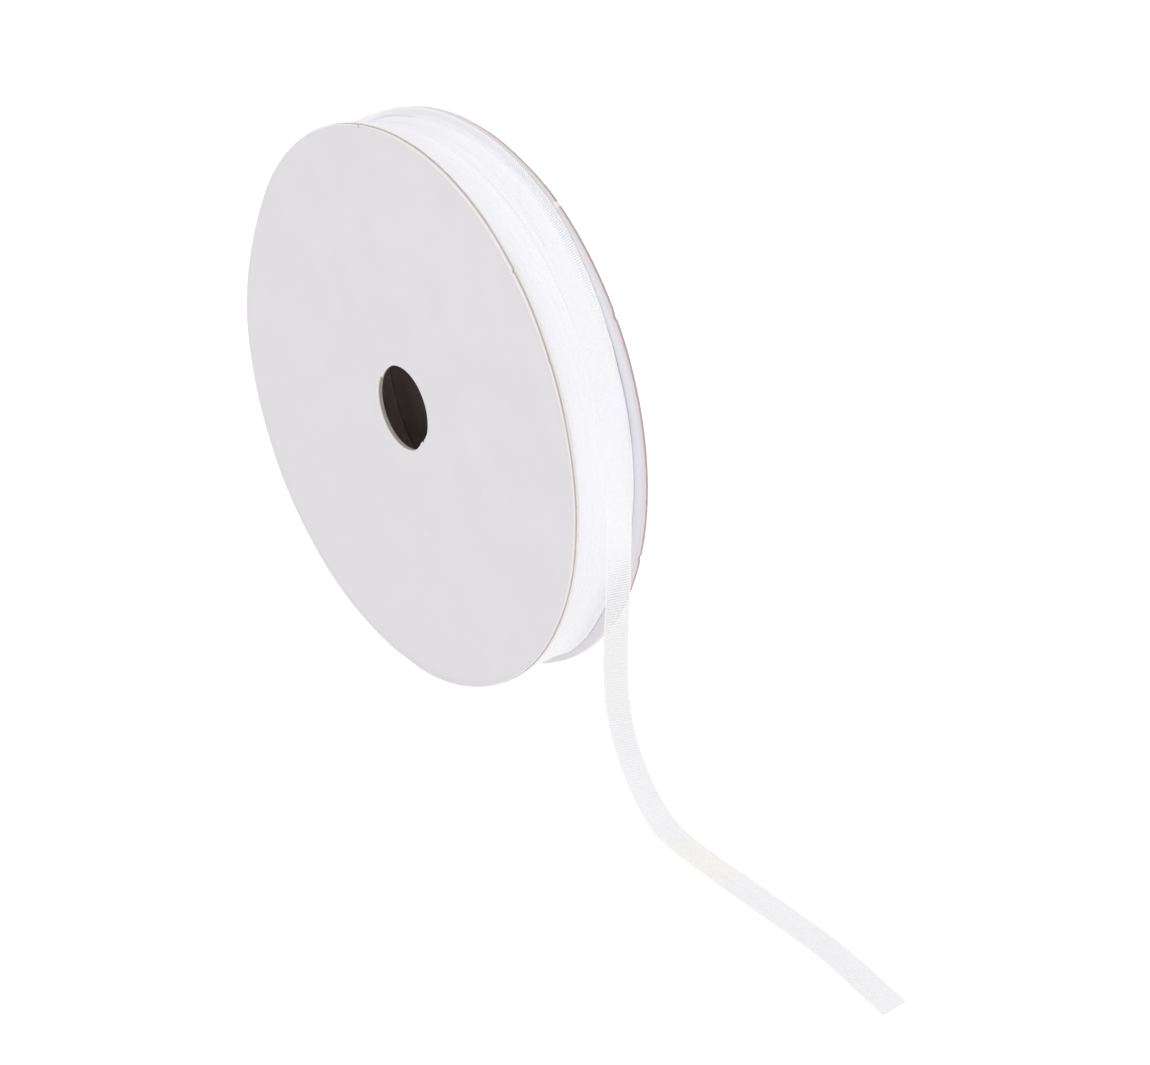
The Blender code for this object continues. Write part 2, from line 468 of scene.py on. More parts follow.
class NodeBoard:
    """One material's nodes, made by name."""

    def __init__(self, name: str) -> None:
        """Start a material with only its output."""
        self.material = bpy.data.materials.new(name)
        self.material.use_nodes = True
        self.tree = self.material.node_tree
        self.tree.nodes.clear()
        self.output = self.tree.nodes.new("ShaderNodeOutputMaterial")

    def node(self, kind: str, settings: dict, sockets: dict) -> bpy.types.Node:
        """Make a node.

        Args:
            kind: the node's type.
            settings: its properties, set first.
            sockets: values or wires for its inputs, by name or number.

        Returns:
            The node.
        """
        made = self.tree.nodes.new(kind)
        for setting, value in settings.items():
            setattr(made, setting, value)
        for socket, value in sockets.items():
            self.feed(made.inputs[socket], value)
        return made

    def feed(self, socket: bpy.types.NodeSocket, value: object) -> None:
        """Set a socket to a plain value, or wire a channel or another socket into it."""
        if isinstance(value, Channel):
            self.tree.links.new(value.socket, socket)
        elif isinstance(value, bpy.types.NodeSocket):
            self.tree.links.new(value, socket)
        else:
            socket.default_value = value

    def sum_of(self, operation: MathOp, *values: Number) -> Channel:
        """One Math node on the given numbers."""
        sockets = dict(enumerate(values))
        made = self.node("ShaderNodeMath", {"operation": operation.value}, sockets)
        return Channel(self, made.outputs[0])

    def place(self) -> tuple[Channel, Channel, Channel, bpy.types.NodeSocket]:
        """X, Y and Z of the point in the object's own frame, and all three as one wire."""
        place = self.node("ShaderNodeTexCoord", {}, {}).outputs["Object"]
        parts = self.node("ShaderNodeSeparateXYZ", {}, {"Vector": place})
        return (*(Channel(self, parts.outputs[axis]) for axis in "XYZ"), place)

    def lay(self) -> tuple[Channel, Channel]:
        """Along and across the ribbon, in metres, from the piece's own UV map."""
        uv = self.node("ShaderNodeUVMap", {"uv_map": "lay"}, {}).outputs["UV"]
        parts = self.node("ShaderNodeSeparateXYZ", {}, {"Vector": uv})
        return Channel(self, parts.outputs["X"]), Channel(self, parts.outputs["Y"])

    def field(self, name: str) -> Channel:
        """A number stored at the mesh's points."""
        made = self.node("ShaderNodeAttribute", {"attribute_name": name}, {})
        return Channel(self, made.outputs["Fac"])

    def joined(self, x: Number, y: Number, z: Number = 0.0) -> bpy.types.NodeSocket:
        """Three numbers as one vector."""
        made = self.node("ShaderNodeCombineXYZ", {}, {"X": x, "Y": y, "Z": z})
        return made.outputs["Vector"]

    def noise(self, vector: bpy.types.NodeSocket, scale: float, detail: float = 2.0,
              roughness: float = 0.5) -> Channel:
        """Soft noise from about 0 to 1.

        Args:
            vector: where it is read.
            scale: bumps for each metre of the vector.
            detail: how many finer layers it has.
            roughness: how strong the finer layers are.

        Returns:
            The noise as a channel.
        """
        made = self.node(
            "ShaderNodeTexNoise", {},
            {"Vector": vector, "Scale": scale, "Detail": detail, "Roughness": roughness},
        )
        return Channel(self, made.outputs["Fac"])

    def specks(self, vector: bpy.types.NodeSocket, scale: float, size: float) -> Channel:
        """1 in small round specks and 0 between them.

        Args:
            vector: where they are read.
            scale: cells for each metre, each with one speck.
            size: the speck's reach as a share of its cell.

        Returns:
            The mask as a channel.
        """
        made = self.node("ShaderNodeTexVoronoi", {"feature": "F1"}, {"Vector": vector, "Scale": scale})
        return Channel(self, made.outputs["Distance"]).eased(size, size * 0.5)

    def tint(self, share: Number, first: object, second: object) -> bpy.types.NodeSocket:
        """Colour that goes from the first to the second as share goes from 0 to 1."""
        made = self.node("ShaderNodeMix", {"data_type": "RGBA"}, {"Factor": share})
        for socket, value in ((made.inputs[6], first), (made.inputs[7], second)):
            self.feed(socket, (*value, 1.0) if isinstance(value, tuple) else value)
        return made.outputs[2]

    def bump(self, height: Channel, depth: float) -> bpy.types.NodeSocket:
        """Normal tilted by a height from 0 to 1 that stands for depth metres."""
        made = self.node("ShaderNodeBump", {}, {"Strength": 1.0, "Distance": depth, "Height": height})
        return made.outputs["Normal"]

    def surface(self, sockets: dict) -> bpy.types.Material:
        """Finish the material with one Principled shader that has these inputs."""
        shader = self.node("ShaderNodeBsdfPrincipled", {}, sockets)
        self.tree.links.new(shader.outputs[0], self.output.inputs["Surface"])
        return self.material


@dataclass(frozen=True)
class LinedCard:
    """Greyboard with a white paper liner on both faces and a bare cut edge."""

    name: str
    board: Colour
    board_pale: Colour
    liner_edge: Colour
    liner: Colour = (0.652, 0.634, 0.655)
    liner_shade: Colour = (0.607, 0.590, 0.609)
    liner_inside: Colour = (0.738, 0.740, 0.792)
    # Painted shade of the inner face low down, near the surface; also the darker tone of its mottle.
    liner_mottle_and_painted_shade: Colour = (0.713, 0.697, 0.725)
    liner_drawn: Colour = (0.800, 0.765, 0.745)
    bare_inside: Colour = (0.470, 0.408, 0.390)
    glued_inside: Colour = (0.640, 0.560, 0.540)
    # Height band of the painted shade low down.
    painted_shade_from: float = 34.0 * MM
    painted_shade_full: float = 16.0 * MM
    rim_darkening: float = 0.4
    darker_rim_width: float = 2.5 * MM
    darker_rim_from: float = 35.0 * MM
    darker_rim_full: float = 8.0 * MM
    glue_reach: float = 5.0 * MM
    torn_depth: float = 0.7 * MM
    ragged: float = 0.35
    edge_blend: float = 0.16
    relief: float = 0.02 * MM

    def low(self, board: NodeBoard) -> Channel:
        """Painted shade share: 1 near the surface that the disc stands on, 0 higher up."""
        return board.place()[2].eased(self.painted_shade_from, self.painted_shade_full)

    def bare(self, board: NodeBoard, strands: Channel) -> bpy.types.NodeSocket:
        """Colour of bare board, paler along its fibres."""
        return board.tint(strands.eased(0.32, 0.72), self.board, self.board_pale)

    def edge_colour(self, board: NodeBoard, across: Channel, strands: Channel) -> bpy.types.NodeSocket:
        """Colour over the cut edge.

        The die drew the liner of the side that it came in by over the corner, so from that side
        the edge is pale as far as the field bare_from, then bare board, then the liner of the
        other side from the field bare_to on. The pale and dark parts also stand for painted
        highlight and painted shade, as the edge faces towards or away from the light. Where the
        field paper is 1, paper hides it all.

        Args:
            board: the material's nodes.
            across: from -1 at the side that the die came in by to 1 at the other.
            strands: noise along the board's fibres.

        Returns:
            The colour.
        """
        # Pale and dark across the edge: liner and bare board, and also painted highlight and painted
        # shade.
        ragged = across + (strands - 0.5) * self.ragged
        pale = (ragged - board.field("bare_from")).eased(self.edge_blend, -self.edge_blend)
        back = (ragged - board.field("bare_to")).eased(-self.edge_blend, self.edge_blend)
        colour = board.tint(pale.at_least(back), self.bare(board, strands), self.liner_edge)
        # Painted shade: drawn paper darker low down, near the surface.
        drawn = board.tint(self.low(board), self.liner_drawn, self.liner_mottle_and_painted_shade)
        return board.tint(board.field("paper").at_least(0.0), colour, drawn)

    def material(self, spool: "SpoolSizes") -> bpy.types.Material:
        """Nodes of the finish.

        The liner has a slow mottle, paper fibres and a few specks, and is a little darker near
        the rim, more towards the bottom where the disc stands. The inner face has painted shade
        low down, near the surface, and is bare board inside the core, paler with glue along it.

        Args:
            spool: the spool's sizes, for the distance from its axis.

        Returns:
            The material.
        """
        board = NodeBoard(self.name)
        x, y, z, place = board.place()
        up = z - spool.axis_height
        from_axis = (x * x + up * up) ** 0.5
        cut = board.field("cut")
        inner = board.field("inner")
        mottle = board.noise(place, 90.0, 3.0, 0.55)
        fibres = board.noise(place, 2600.0, 3.0, 0.6)
        grain = board.noise(place, 700.0, 2.0)
        near_rim = from_axis.eased(spool.disc_radius - self.darker_rim_width, spool.disc_radius)
        # The liner is darker near the rim, more towards the bottom where the disc stands.
        rim_darker = near_rim * (grain + z.eased(self.darker_rim_from, self.darker_rim_full)) * self.rim_darkening
        specks = board.specks(place, 55.0, 0.018)
        shade = (mottle.eased(0.35, 0.75) * 0.35 + rim_darker + fibres * 0.18 + specks * 2.5).at_most(1.0)
        liner = board.tint(shade, self.liner, self.liner_shade)
        # Painted shade: the inner face darker low down, near the surface.
        inside = board.tint(self.low(board), self.liner_inside, self.liner_mottle_and_painted_shade)
        inside = board.tint((mottle * 0.3 + fibres * 0.18).at_most(1.0), inside, self.liner_mottle_and_painted_shade)
        face = board.tint(inner, liner, inside)
        glued = from_axis.eased(spool.core_radius - self.glue_reach, spool.core_radius)
        in_core = board.tint(glued, self.bare_inside, self.glued_inside)
        face = board.tint(from_axis.below(spool.core_radius) * inner, face, in_core)
        turning = board.joined(from_axis * 8.0, y * 9.0, x + up * 0.7)
        strands = board.noise(turning, 900.0, 4.0, 0.65)
        torn = (board.field("paper") * -1.0).at_least(0.0)
        at_rim = 1.0 - from_axis.below(spool.disc_radius - self.torn_depth)
        edge = self.edge_colour(board, board.field("across"), strands)
        colour = board.tint(torn * at_rim, board.tint(cut, face, edge), self.bare(board, strands))
        relief = fibres * 0.5 + grain * 0.5 + cut * strands * 3.0
        return board.surface({
            "Base Color": colour,
            "Roughness": 0.62 + cut * 0.28 + mottle * 0.1,
            "Specular IOR Level": 0.35,
            "Normal": board.bump(relief, self.relief),
        })


@dataclass(frozen=True)
class BareCard:
    """Brown board of the core, with its fibres."""

    board: Colour = (0.345, 0.280, 0.262)
    board_pale: Colour = (0.460, 0.380, 0.358)
    glued: Colour = (0.600, 0.520, 0.500)
    glue_reach: float = 5.0 * MM
    relief: float = 0.05 * MM

    def material(self, spool: "SpoolSizes") -> bpy.types.Material:
        """Nodes of the finish: long soft fibres over a slow mottle, paler with glue at the ends."""
        board = NodeBoard("bare_card")
        x, y, z, place = board.place()
        strands = board.noise(board.joined(x, y * 5.0, z), 800.0, 4.0, 0.6)
        mottle = board.noise(place, 120.0)
        colour = board.tint(strands * 0.6 + mottle * 0.4, self.board, self.board_pale)
        glued = abs(y).eased(spool.inner_face - self.glue_reach, spool.inner_face)
        colour = board.tint(glued, colour, self.glued)
        return board.surface({
            "Base Color": colour,
            "Roughness": 0.82 + strands * 0.15,
            "Specular IOR Level": 0.2,
            "Normal": board.bump(strands, self.relief),
        })


@dataclass(frozen=True)
class Organza:
    """Sheer plain weave of fine stiff threads with a dense selvage along both edges."""

    thread: Colour = (0.960, 0.951, 0.985)
    thread_shade: Colour = (0.870, 0.861, 0.903)
    # Painted shade: the roll greyer towards the bottom.
    thread_painted_shade: Colour = (0.857, 0.852, 0.868)
    # Painted shade at a sharp fold.
    thread_fold_painted_shade: Colour = (0.690, 0.685, 0.735)
    # Painted shade: a single layer off the roll, greyer.
    thread_single_painted_shade: Colour = (0.825, 0.825, 0.825)
    # Painted light: a single layer lying on the surface, lit from it.
    thread_floor_painted_light: Colour = (0.905, 0.905, 0.920)
    # Painted reflection: a warmer stretch of the loose end on the surface.
    thread_painted_reflection: Colour = (0.930, 0.915, 0.860)
    # Height band of the roll's painted shade.
    painted_shade_from: float = 72.0 * MM
    painted_shade_full: float = 30.0 * MM
    # Run along the loose end over which its painted light from the surface comes on.
    floor_light_from: float = 25.0 * MM
    floor_light_full: float = 70.0 * MM
    # Middle and reach of the painted reflection along the loose end.
    reflection_middle: float = 89.5 * MM
    reflection_reach: float = 8.0 * MM
    weft_pitch: float = 0.5 * MM
    warp_pitch: float = 0.28 * MM
    thread_share: float = 0.45
    thread_blur: float = 0.16
    thread_waver: float = 0.03 * MM
    selvage: float = 0.42 * MM
    selvage_cover: float = 0.6
    gap_shade: float = 0.22
    gap_cover: float = 0.08
    sheer_relief: float = 0.04 * MM
    wound_relief: float = 0.06 * MM

    def ridges(self, along: Channel, pitch: float) -> Channel:
        """Distance from the nearest thread's middle, from 0 to 1 halfway to the next."""
        return abs((along / pitch).fraction() - 0.5) * 2.0

    def weave(self, along: Channel, across: Channel) -> tuple[Channel, Channel]:
        """Cover and height of the weave.

        Cover is 1 on a thread of either set and falls off at its sides. Height is that of the
        higher of two crossing threads, each going over and under by a sine.

        Args:
            along: metres along the ribbon.
            across: metres across the ribbon.

        Returns:
            Cover from 0 to 1 and height from 0 to 1.
        """
        off, on = self.thread_share + self.thread_blur, self.thread_share - self.thread_blur
        weft = self.ridges(along, self.weft_pitch).eased(off, on)
        warp = self.ridges(across, self.warp_pitch).eased(off, on)
        cover = weft.at_least(warp)
        over = (along * (math.pi / self.weft_pitch)).sine()
        waves = over * (across * (math.pi / self.warp_pitch)).sine()
        return cover, cover * (0.8 + waves * 0.2)

    def selvages(self, across: Channel, width: float) -> Channel:
        """1 on the dense woven edges, 0 on the sheer middle."""
        inward = across.at_most(width - across)
        return inward.eased(self.selvage * 1.25, self.selvage * 0.75)

    def sheer(self, width: float) -> bpy.types.Material:
        """Nodes of a single layer, seen through between its threads.

        The field clear tells how much shows through its gaps: nothing where it lies on the roll,
        whose layers fill them. A second field picks a single layer's painted colours over the
        roll's: painted shade where the loose end leaves the roll and where the last turn climbs
        the far disc, painted light where the loose end lies on the surface, and a painted
        reflection in one stretch of it. The field creased tells where painted shade darkens a
        sharp fold.

        Args:
            width: the ribbon's width in metres.

        Returns:
            The material.
        """
        board = NodeBoard("organza_sheer")
        along, across = board.lay()
        clear, painted_single = board.field("clear"), board.field("painted_single")
        slub = board.noise(board.joined(along, across * 22.0), 160.0, 3.0)
        cover, height = self.weave(along, across + slub * self.thread_waver)
        edge = self.selvages(across, width)
        drift = board.noise(board.joined(along, across * 4.0), 90.0)
        middle = 1.0 - edge * self.selvage_cover
        shade = (drift * 0.30 + (1.0 - cover) * self.gap_shade) * middle
        piled = board.tint(shade, self.thread, self.thread_shade)
        # Painted reflection: warmer in one stretch of the loose end.
        painted_reflection = (abs(along - self.reflection_middle) / self.reflection_reach).eased(1.5, 0.4)
        # Painted light: the loose end lighter where it lies on the surface.
        lying = along.eased(self.floor_light_from, self.floor_light_full)
        # Painted shade: a single layer off the roll is greyer.
        single = board.tint(lying, self.thread_single_painted_shade, self.thread_floor_painted_light)
        single = board.tint(painted_reflection * 0.8, single, self.thread_painted_reflection)
        single = board.tint(edge * 0.3 + drift * 0.15, single, self.thread)
        # Where the field is 1, the single layer's painted colours replace the roll's.
        colour = board.tint(painted_single, piled, single)
        return board.surface({
            # Painted shade darkens a sharp fold.
            "Base Color": board.tint(board.field("creased"), colour, self.thread_fold_painted_shade),
            "Roughness": 0.42 + slub * 0.15,
            "Specular IOR Level": 0.45,
            "Alpha": 1.0 - clear * (1.0 - cover) * (1.0 - self.gap_cover) * middle,
            "Normal": board.bump(height, self.sheer_relief),
        })

    def wound(self) -> bpy.types.Material:
        """Nodes of many layers seen as one, with the fine lines of the turns beneath and painted shade
        towards the bottom.
        """
        board = NodeBoard("organza_wound")
        along, across = board.lay()
        turns = board.noise(board.joined(along * 0.02, across), 1500.0, 4.0, 0.6)
        lanes = board.noise(board.joined(along * 0.03, across), 350.0, 2.0)
        cover, height = self.weave(along, across)
        shade = turns.eased(0.35, 0.8) * 0.25 + lanes * 0.15 + (1.0 - cover) * self.gap_shade
        # Painted shade: the roll greyer towards the bottom, near the surface.
        low = board.place()[2].eased(self.painted_shade_from, self.painted_shade_full)
        piled = board.tint(shade, self.thread, self.thread_shade)
        return board.surface({
            "Base Color": board.tint(low, piled, self.thread_painted_shade),
            "Roughness": 0.50 + turns * 0.2,
            "Specular IOR Level": 0.4,
            "Normal": board.bump(height * 0.5 + turns * 0.9, self.wound_relief),
        })


@dataclass(frozen=True)
class SpoolSizes:
    """The spool's own sizes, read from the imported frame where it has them."""

    axis_height: float
    disc_radius: float
    outer_face: float
    card: float
    core_radius: float
    hole_radius: float = 8.65 * MM

    @classmethod
    def from_frame(cls) -> "SpoolSizes":
        """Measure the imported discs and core."""
        near_low, near_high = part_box("front_disc")
        core_low, core_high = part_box("core_tube")
        radius = (near_high.x - near_low.x) / 2
        return cls(
            axis_height=near_high.z - radius,
            disc_radius=radius,
            outer_face=-near_low.y,
            card=near_high.y - near_low.y,
            core_radius=(core_high.x - core_low.x) / 2,
        )

    @property
    def inner_face(self) -> float:
        """Distance of a disc's inner face from the middle of the roll."""
        return self.outer_face - self.card

    def turned(self, radius: np.ndarray, y: np.ndarray, angle: np.ndarray) -> np.ndarray:
        """Points at a distance from the axis, a Y and an angle in degrees from +X towards +Z.

        Args:
            radius: distances from the axis, in metres.
            y: places along the axis, in metres.
            angle: angles in degrees.

        Returns:
            Points, one more axis of 3.
        """
        turn = np.radians(angle)
        x = radius * np.cos(turn)
        z = self.axis_height + radius * np.sin(turn)
        return columns_of(x, y, z)


@dataclass
class CardDisc:
    """One die-cut disc of lined card with a round hole a little off its middle."""

    side: Side
    spool: SpoolSizes
    hole_aside: float = 0.2 * MM
    hole_above: float = 0.35 * MM
    steps: int = 720
    rings: int = 12
    edge_rows: int = 7
    corner_rows: int = 6
    rolled: float = 0.34 * MM
    sheared: float = 0.10 * MM
    fray: float = 0.03 * MM
    hole_bare_from: float = -0.55
    hole_bare_to: float = 1.3
    tab_power: int = 8
    standing_angle: float = 270.0
    standing_reach: float = 6.0
    seed: int = 6

    def rim(self, angle: np.ndarray) -> np.ndarray:
        """Rim radius: the disc's, less its nicks, and cut straight across where it stands."""
        radius = self.spool.disc_radius - faults_depth(RIM_FAULTS[self.side], angle)
        downward = -np.sin(np.radians(angle))
        flat = self.spool.axis_height / np.maximum(downward, 1e-6)
        return np.where(downward > 0.5, np.minimum(radius, flat), radius)

    def hole(self, angle: np.ndarray) -> np.ndarray:
        """Distance from the axis to the hole's edge.

        A circle that is off the axis by d towards a direction lies, at an angle a from that
        direction, at d times cosine a plus the root of its radius squared less d times sine a
        squared.

        Args:
            angle: angles in degrees.

        Returns:
            Distances in metres.
        """
        off = math.hypot(self.hole_aside, self.hole_above)
        turn = np.radians(angle) - math.atan2(self.hole_above, self.hole_aside)
        return off * np.cos(turn) + np.sqrt(self.spool.hole_radius ** 2 - (off * np.sin(turn)) ** 2)

    def angles(self) -> np.ndarray:
        """Even steps with the corners of the nicks, tabs and marks added, as a column."""
        rows = RIM_FAULTS[self.side] + HOLE_TABS[self.side] + RIM_PAPER[self.side]
        corners = [corner for row in rows for corner in row[:-1]]
        return np.unique(np.concatenate([np.arange(self.steps) * 360.0 / self.steps, corners]))[:, None]

    def section(self) -> np.ndarray:
        """Closed section of the disc, as columns of share, out, y and cut.

        Share goes from 0 at the hole to 1 at the rim and out is added to it in metres. From the
        hole the section runs along the -Y face, round the wide corner that the die rolled over,
        over the rim's cut edge, round the sharp corner, back along the +Y face, and over the
        hole's edge in the same way. Corners are quarter circles. Cut is 1 on corners and edges.

        Returns:
            The section's points, one row each.
        """
        half = self.spool.card / 2
        rolled, sheared = self.rolled, self.sheared
        close = np.array([0.004, 0.012, 0.988, 0.996])
        face = np.unique(np.concatenate([np.linspace(0.0, 1.0, self.rings), close]))
        turn = np.linspace(0.0, math.pi / 2, self.corner_rows)
        leave, meet = turn[1:], turn[:-1]
        edge = np.linspace(rolled - half, half - sheared, self.edge_rows)[1:-1]
        return np.vstack([
            columns_of(face, rolled * (1.0 - 2.0 * face), -half, 0.0),
            columns_of(1.0, rolled * (np.sin(leave) - 1.0), rolled * (1.0 - np.cos(leave)) - half, 1.0),
            columns_of(1.0, 0.0, edge, 1.0),
            columns_of(1.0, sheared * (np.cos(meet) - 1.0), half - sheared * (1.0 - np.sin(meet)), 1.0),
            columns_of(face[::-1], sheared * (1.0 - 2.0 * face[::-1]), half, 0.0),
            columns_of(0.0, sheared * (1.0 - np.sin(leave)), half - sheared * (1.0 - np.cos(leave)), 1.0),
            columns_of(0.0, 0.0, edge[::-1], 1.0),
            columns_of(0.0, rolled * (1.0 - np.cos(meet)), rolled * (1.0 - np.sin(meet)) - half, 1.0),
        ])

    def lean(self, angle: np.ndarray, radius: np.ndarray) -> np.ndarray:
        """Warp of the card along Y: the rim's lean times the square of the share outside the core."""
        outside = (radius - self.spool.core_radius) / (self.spool.disc_radius - self.spool.core_radius)
        return eased_round(DISC_WARP[self.side], "lean", angle) * MM * np.maximum(outside, 0.0) ** 2

    def build(self) -> bpy.types.Object:
        """Carry the section round the axis, with a seeded roughness on its cut edges.

        The tabs left in the hole hang from the -Y face: their depth falls to nothing at the +Y
        face, and with the eighth power of the share away from the hole.

        Returns:
            The disc's object.
        """
        share, out, y, cut = self.section().T
        angle = self.angles()
        rim, hole = self.rim(angle), self.hole(angle)
        front = 0.5 - y / self.spool.card
        tab = faults_depth(HOLE_TABS[self.side], angle) * front * (1.0 - share) ** self.tab_power
        radius = hole + share * (rim - hole) + out - tab
        rng = np.random.default_rng(self.seed + self.side.value)
        worn = np.abs(rng.normal(0.0, self.fray, radius.shape)) * cut
        at_rim = share > 0.5
        standing = (np.abs(angle - self.standing_angle) < self.standing_reach) & at_rim
        radius = radius - np.where(standing, 0.0, worn) * np.sign(share - 0.5)
        middle = self.side.value * (self.spool.outer_face + self.spool.inner_face) / 2
        points = self.spool.turned(radius, middle + y + self.lean(angle, radius), angle)
        shape = radius.shape
        edge = RIM_EDGE[self.side]
        fields = {
            "bare_from": np.where(at_rim, eased_round(edge, "bare_from", angle), self.hole_bare_from),
            "bare_to": np.where(at_rim, eased_round(edge, "bare_to", angle), self.hole_bare_to),
            "cut": np.broadcast_to(cut, shape),
            "across": np.broadcast_to(y * 2.0 / self.spool.card, shape),
            "inner": np.broadcast_to((y * self.side.value < 0) * (1.0 - cut), shape),
            "paper": paper_over(RIM_PAPER[self.side], angle) * at_rim,
        }
        lay = np.zeros((shape[0] + 1, shape[1] + 1, 2))
        return skin(f"card_disc_{self.side.name.lower()}", points, lay, True, True, fields)

    def dress(self, material: bpy.types.Material) -> bpy.types.Object:
        """Build, finish and seat the disc on its CAD node."""
        obj = self.build()
        obj.data.materials.append(material)
        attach(obj, "root")
        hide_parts("front_disc" if self.side is Side.NEAR else "rear_disc")
        return obj


@dataclass
class WoundRibbon:
    """The ribbon's many turns, wound to and fro between the discs."""

    spool: SpoolSizes
    near_disc: CardDisc
    far_disc: CardDisc
    ribbon_width: float
    steps: int = 640
    rows: int = 112
    first_angle: float = 250.0
    turns: int = 15
    turn_height: float = 0.06 * MM
    turn_edge: float = 0.07 * MM
    side_depth: float = 1.2 * MM
    edge_rounding: float = 0.12 * MM
    shelf_drop: float = 0.55 * MM
    shelf_slope: float = 0.3 * MM
    piled_width: float = 0.9 * MM
    clearance: float = 0.3 * MM
    near_gap: float = 0.1 * MM
    rub: float = 0.06 * MM
    around: float = 688 * Organza.weft_pitch
    seed: int = 11
    slow_swing: float = 0.30
    quick_swing: float = 0.12
    slack: float = 0.04 * MM
    slack_length: float = 2.6 * MM
    sunk: float = 0.1 * MM
    bedded: float = 0.08 * MM
    covered_blend: float = 0.3 * MM
    covered_till: float = 232.0
    covered_from: float = 335.0

    def bed(self, angle: np.ndarray) -> np.ndarray:
        """Distance from the axis at which the last turn lies, in metres."""
        return eased_round(WOUND_FORM, "radius", angle) * MM

    def wall(self, angle: np.ndarray, radius: np.ndarray) -> np.ndarray:
        """Where the far disc's inner face stands, with its warp, in metres."""
        return self.spool.inner_face + self.far_disc.lean(angle, radius)

    def far_edge(self, angle: np.ndarray) -> np.ndarray:
        """Where the top turns end near the far disc, in metres."""
        return self.wall(angle, self.bed(angle)) - eased_round(WOUND_FORM, "groove", angle) * MM

    def near_edge(self, angle: np.ndarray) -> np.ndarray:
        """Where the roll ends near the near disc, whose warp it follows, in metres."""
        return self.near_disc.lean(angle, self.bed(angle)) - (self.spool.inner_face - self.near_gap)

    def lie(self, angle: np.ndarray, y: np.ndarray) -> np.ndarray:
        """Height of the top turns over the form.

        Each turn is a band as wide as the ribbon whose middle drifts to and fro by one slow
        and one quick sine of the angle. A band is flat on top and falls off at its edges by a
        hyperbolic tangent, and the bands add up.

        Args:
            angle: angles in degrees.
            y: places along the axis, in metres.

        Returns:
            Heights in metres, about 0 on average.
        """
        rng = np.random.default_rng(self.seed)
        turn = np.radians(angle)
        half = self.ribbon_width / 2
        low = self.near_edge(angle) + half
        high = self.far_edge(angle) - half
        total = np.zeros(np.broadcast_shapes(angle.shape, y.shape))
        for start, slow, quick, lag, late in rng.uniform(0.0, 1.0, (self.turns, 5)):
            swing = self.slow_swing * slow * np.sin(turn + math.tau * lag)
            swing = swing + self.quick_swing * quick * np.sin(2.0 * turn + math.tau * late)
            middle = low + np.clip(start + swing, 0.0, 1.0) * (high - low)
            total += 0.5 + 0.5 * np.tanh((half - np.abs(y - middle)) / self.turn_edge)
        return (total - self.turns * 0.5) * self.turn_height

    def under_last_turn(self, angle: np.ndarray, y: np.ndarray) -> np.ndarray:
        """1 where the last turn or the start of the loose end covers the roll, else 0."""
        near = eased_round(LAST_TURN, "near_edge", angle) * MM
        far = near + self.ribbon_width
        blend = self.covered_blend
        inside = smooth_step((y - near) / blend) * smooth_step((far - y) / blend)
        turned = np.mod(angle, 360.0)
        return inside * ((turned < self.covered_till) | (turned > self.covered_from))

    def radius(self, angle: np.ndarray, y: np.ndarray) -> np.ndarray:
        """Distance of the roll's surface from the axis.

        The form's radius less sunk, plus the lie of the turns, plus a slow slack that is a
        product of two sines, pressed down to just under the last turn where that lies on it and
        piled up level along both discs, less a quarter-circle rounding at the near edge and a
        smooth step down past the far edge.

        Args:
            angle: angles in degrees.
            y: places along the axis, in metres.

        Returns:
            Radii in metres.
        """
        form = self.bed(angle)
        turn = np.radians(angle)
        slack = self.slack * np.sin(7.0 * turn + 1.3) * np.sin(y / self.slack_length + 2.0 * turn)
        surface = form - self.sunk + self.lie(angle, y) + slack
        level = form - self.bedded
        surface = surface - np.maximum(surface - level, 0.0) * self.under_last_turn(angle, y)
        inward = np.minimum(self.far_edge(angle) - y, y - self.near_edge(angle))
        piled = smooth_step(1.0 - inward / self.piled_width)
        surface = surface + (level - surface) * piled
        into = np.clip(1.0 - (y - self.near_edge(angle)) / self.edge_rounding, 0.0, 1.0)
        surface = surface - self.edge_rounding * (1.0 - np.sqrt(np.maximum(1.0 - into ** 2, 0.0)))
        past = (y - self.far_edge(angle)) / self.shelf_slope
        return surface - self.shelf_drop * smooth_step(past)

    def build(self) -> bpy.types.Object:
        """Make the roll as a closed ring: its bore, near side, surface and far side.

        Returns:
            The roll's object.
        """
        angle = (self.first_angle + np.arange(self.steps) * 360.0 / self.steps)[:, None]
        share = np.linspace(0.0, 1.0, self.rows)
        low = self.near_edge(angle)
        high = self.wall(angle, self.bed(angle)) - self.rub
        y = low + share * (high - low)
        top = self.radius(angle, y)
        bore = np.full_like(angle, self.spool.core_radius + self.clearance)
        shallow = top[:, [0, -1]] - self.side_depth
        radius = np.hstack([bore, shallow[:, :1], top, shallow[:, 1:], bore])
        lows = np.full_like(angle, low)
        y = np.hstack([lows, lows, y, high, high])
        points = self.spool.turned(radius, y, angle)
        along = np.arange(self.steps + 1)[:, None] / self.steps * self.around
        across = np.concatenate([[0.0, 0.0], share * (self.spool.inner_face * 2), [0.0, 0.0, 0.0]])
        return skin("ribbon_turns", points, columns_of(along, across), True, True)

    def dress(self, material: bpy.types.Material) -> bpy.types.Object:
        """Build, finish and seat the roll on its CAD node."""
        obj = self.build()
        obj.data.materials.append(material)
        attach(obj, "root")
        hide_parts("wound_ribbon")
        return obj


